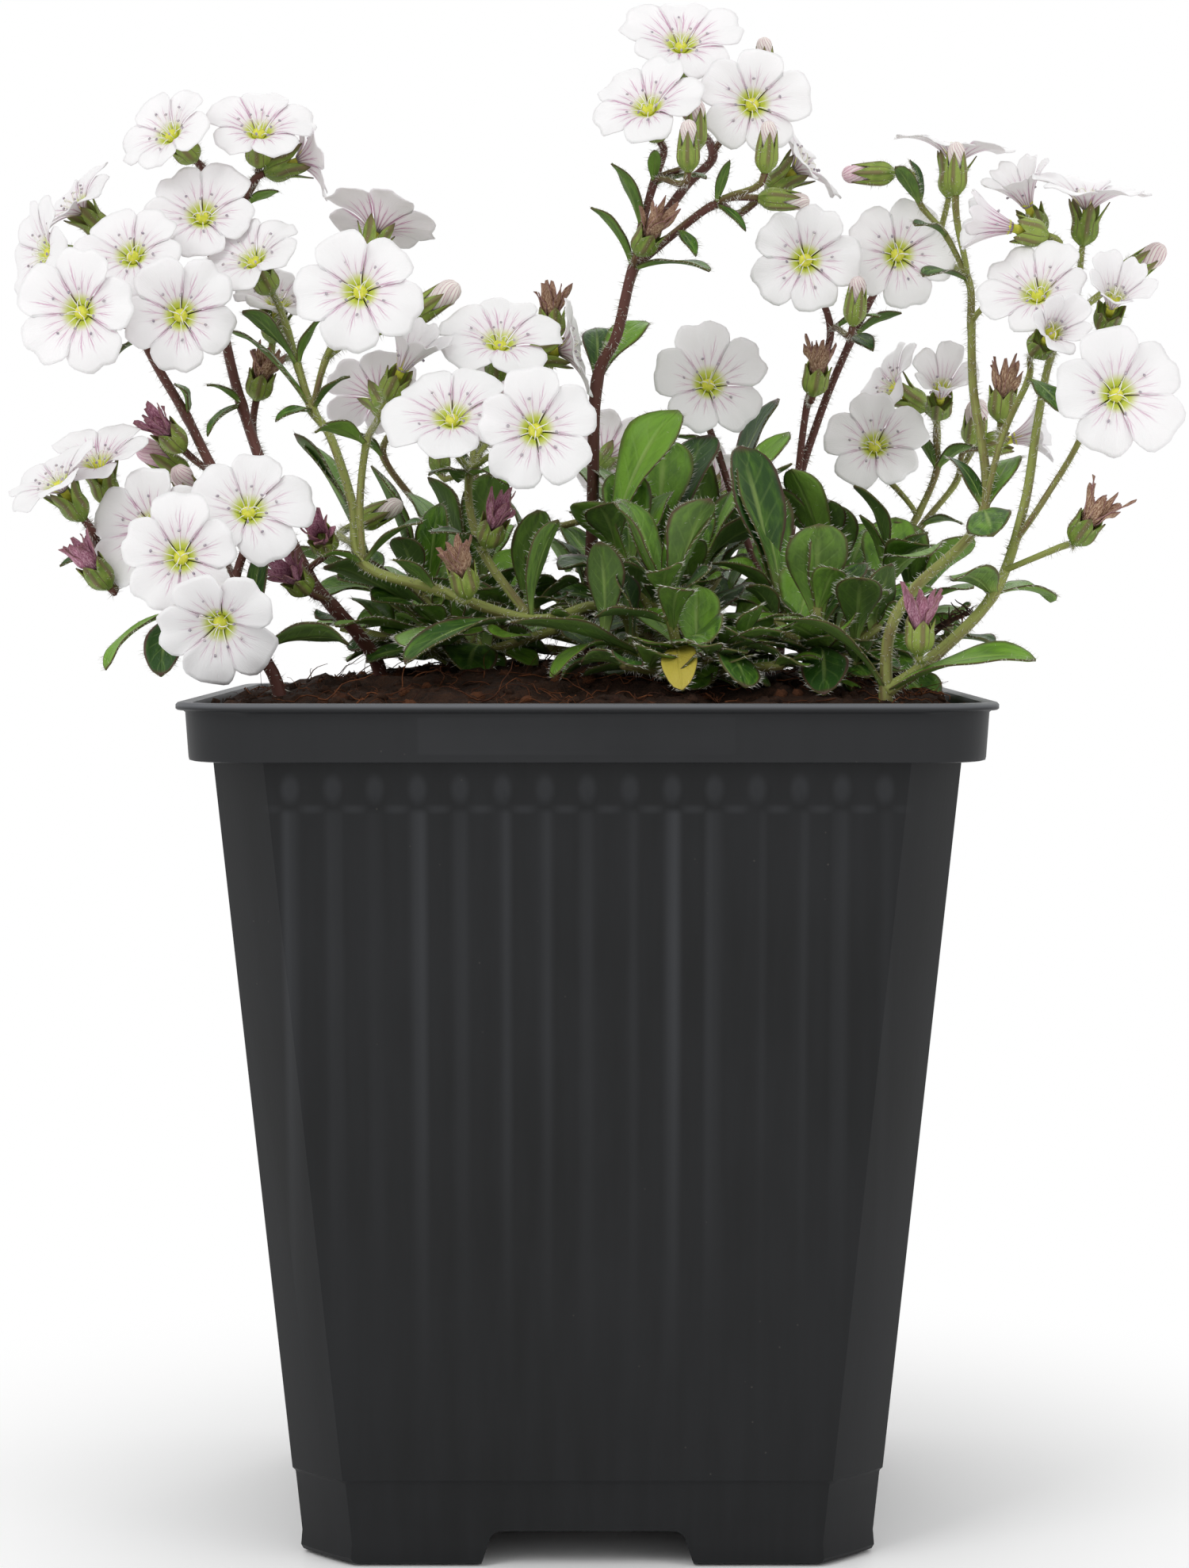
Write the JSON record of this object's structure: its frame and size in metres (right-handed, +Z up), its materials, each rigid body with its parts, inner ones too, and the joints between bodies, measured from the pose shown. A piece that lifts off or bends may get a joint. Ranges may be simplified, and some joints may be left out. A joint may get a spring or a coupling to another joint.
{
  "type": "potted gypsophila cerastioides",
  "caption": "Square nursery pot of growing medium holding leafy tufts and branching sprays of open white blooms with buds and spent heads.",
  "frame": {"origin": "on the surface it stands on, under the middle of the pot, which is also under the middle of the whole plant's box", "axes": "+Z up the plant; the pictured front faces -Y; +X to the viewer's right"},
  "size_m": [0.1414, 0.094, 0.1846],
  "materials": {
    "pot_plastic": "satin anthracite moulded plastic",
    "growing_medium": "damp dark peat and bark crumbs",
    "leaf": "satin green leaf with a purple-brown margin",
    "stem": "hairy olive stem flushed red-brown",
    "petal": "soft white petal with fine pink veins"
  },
  "bodies": {
    "root": {"pot": "pot_plastic", "spray_left": "stem", "spray_lower_left": "stem", "spray_centre": "stem", "spray_tall": "stem", "spray_centre_right": "stem", "spray_right": "stem", "spray_right_back": "stem", "spray_back": "stem", "tuft_front": "leaf", "tuft_front_right": "leaf", "tuft_middle": "leaf", "tuft_left": "leaf", "tuft_right": "leaf", "tuft_back": "leaf", "soil": "growing_medium", "bloom_left_1": "petal", "bloom_left_2": "petal", "bloom_left_4": "petal", "bloom_left_3": "petal", "bloom_left_8": "petal", "bloom_left_5": "petal", "bloom_left_6": "petal", "bloom_left_7": "petal", "bloom_lower_left_1": "petal", "bloom_lower_left_2": "petal", "bloom_lower_left_3": "petal", "bloom_lower_left_4": "petal", "bloom_lower_left_5": "petal", "bloom_centre_1": "petal", "bloom_centre_2": "petal", "bloom_centre_3": "petal", "bloom_centre_4": "petal", "bloom_centre_5": "petal", "bloom_centre_6": "petal", "bloom_centre_7": "petal", "bloom_centre_8": "petal", "bloom_centre_9": "petal", "bloom_tall_1": "petal", "bloom_tall_2": "petal", "bloom_tall_3": "petal", "bloom_tall_4": "petal", "bloom_centre_right_1": "petal", "bloom_centre_right_2": "petal", "bloom_centre_right_3": "petal", "bloom_right_1": "petal", "bloom_right_2": "petal", "bloom_right_3": "petal", "bloom_right_4": "petal", "bloom_right_5": "petal", "bloom_right_6": "petal", "bloom_right_7": "petal", "bloom_right_back_1": "petal", "bloom_right_back_2": "petal", "bloom_right_back_3": "petal", "bloom_right_back_4": "petal", "bloom_back_1": "petal", "bloom_back_2": "petal", "bloom_back_3": "petal", "bloom_back_4": "petal"}
  },
  "joints": []
}
